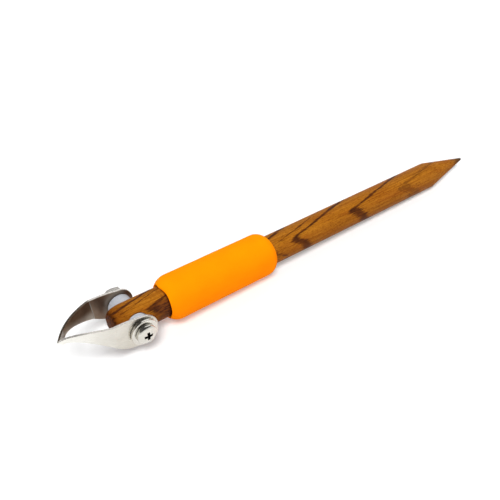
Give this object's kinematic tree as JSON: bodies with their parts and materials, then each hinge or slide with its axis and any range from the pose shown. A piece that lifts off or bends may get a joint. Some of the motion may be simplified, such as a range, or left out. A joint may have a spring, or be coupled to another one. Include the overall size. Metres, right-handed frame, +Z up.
{
  "type": "v gouge",
  "caption": "Clay trimming tool: a folded sheet-steel V blade, tiltable on a cross bolt, in front of a round pencil-pointed wooden handle with a foam grip.",
  "frame": {"origin": "on the surface that the tool lies on, under the middle of its bounding box", "axes": "+X along the handle to its pencil point, +Y along the cross bolt to the nut, +Z up"},
  "size_m": [0.2264, 0.0286, 0.0185],
  "materials": {
    "handle_wood": "satin varnish over brown-streaked hardwood",
    "grip_foam": "matt closed-cell foam, bright orange",
    "blade_steel": "bright rolled stainless sheet",
    "spacer_nylon": "smooth white nylon",
    "fastener_steel": "bright nickel plate"
  },
  "bodies": {
    "handle_body": {"handle": "handle_wood", "foam_grip": "grip_foam", "near_spacer": "spacer_nylon", "far_spacer": "spacer_nylon", "near_washer": "fastener_steel", "far_washer": "fastener_steel", "pan_screw": "fastener_steel", "hex_nut": "fastener_steel"},
    "blade_body": {"v_blade": "blade_steel"}
  },
  "joints": [
    {"name": "blade_tilt", "type": "hinge", "parent": "handle_body", "child": "blade_body", "pos_m": [-0.08385, -0.00122, 0.00925], "axis": [0, 1, 0], "range_deg": [-150, 120]}
  ]
}
